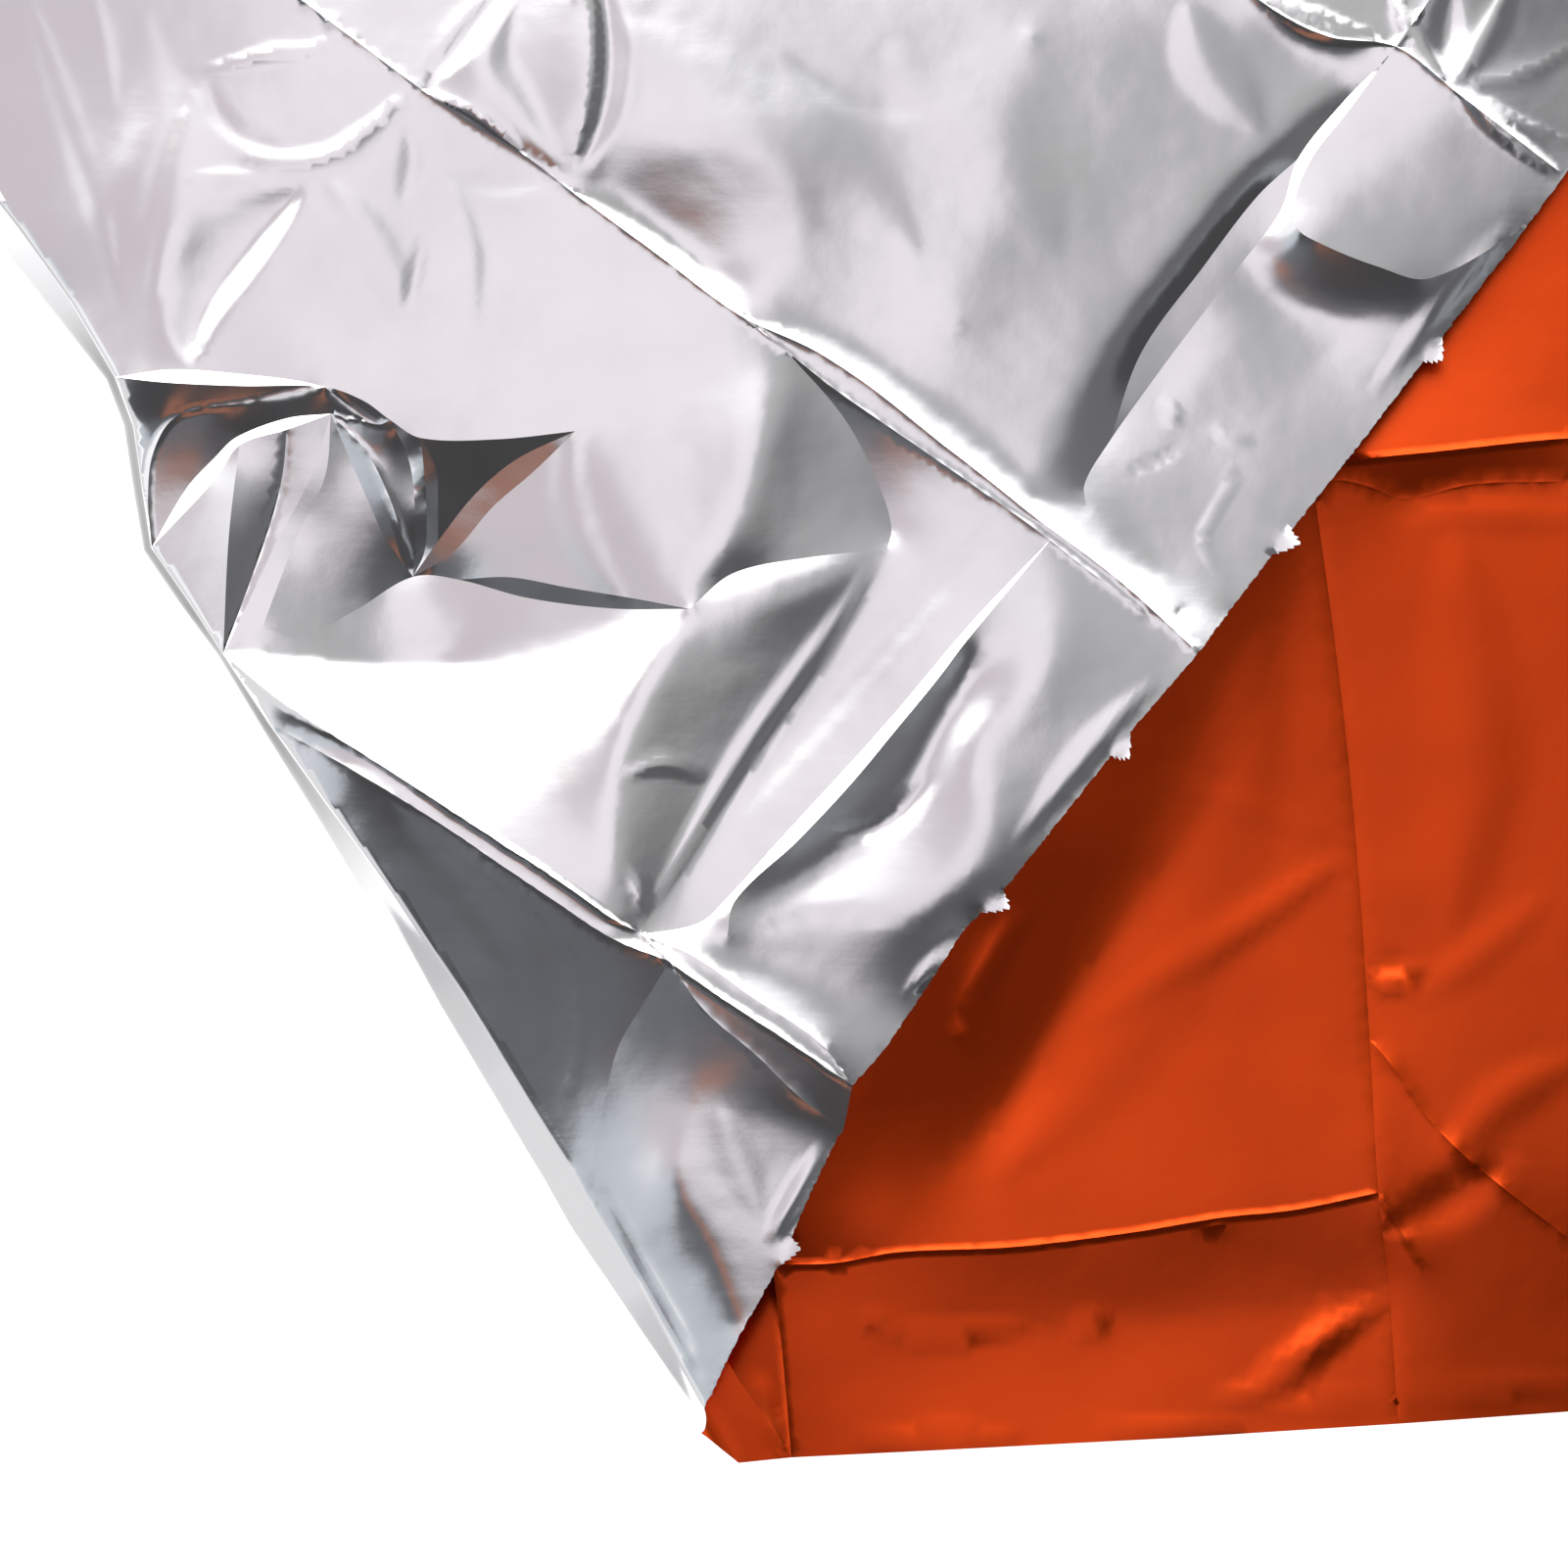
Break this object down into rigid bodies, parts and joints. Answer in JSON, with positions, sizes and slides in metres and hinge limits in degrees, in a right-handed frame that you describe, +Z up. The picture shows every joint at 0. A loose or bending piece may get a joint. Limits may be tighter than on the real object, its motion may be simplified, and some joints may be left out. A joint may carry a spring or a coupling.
{
  "type": "emergency foil blanket",
  "caption": "Cut length of emergency foil, silver on one face and orange on the other, turned over on itself along a slanting fold.",
  "frame": {"origin": "middle of the folded sheet's outline in plan, on the surface that it lies on", "axes": "+X to the right along the hem, +Y away from the hem, +Z up out of the surface"},
  "size_m": [0.3286, 0.398, 0.0169],
  "materials": {
    "foil": "mirror-like metallised film, orange on the other face"
  },
  "bodies": {
    "root": {"foil_sheet": "foil"}
  },
  "joints": []
}
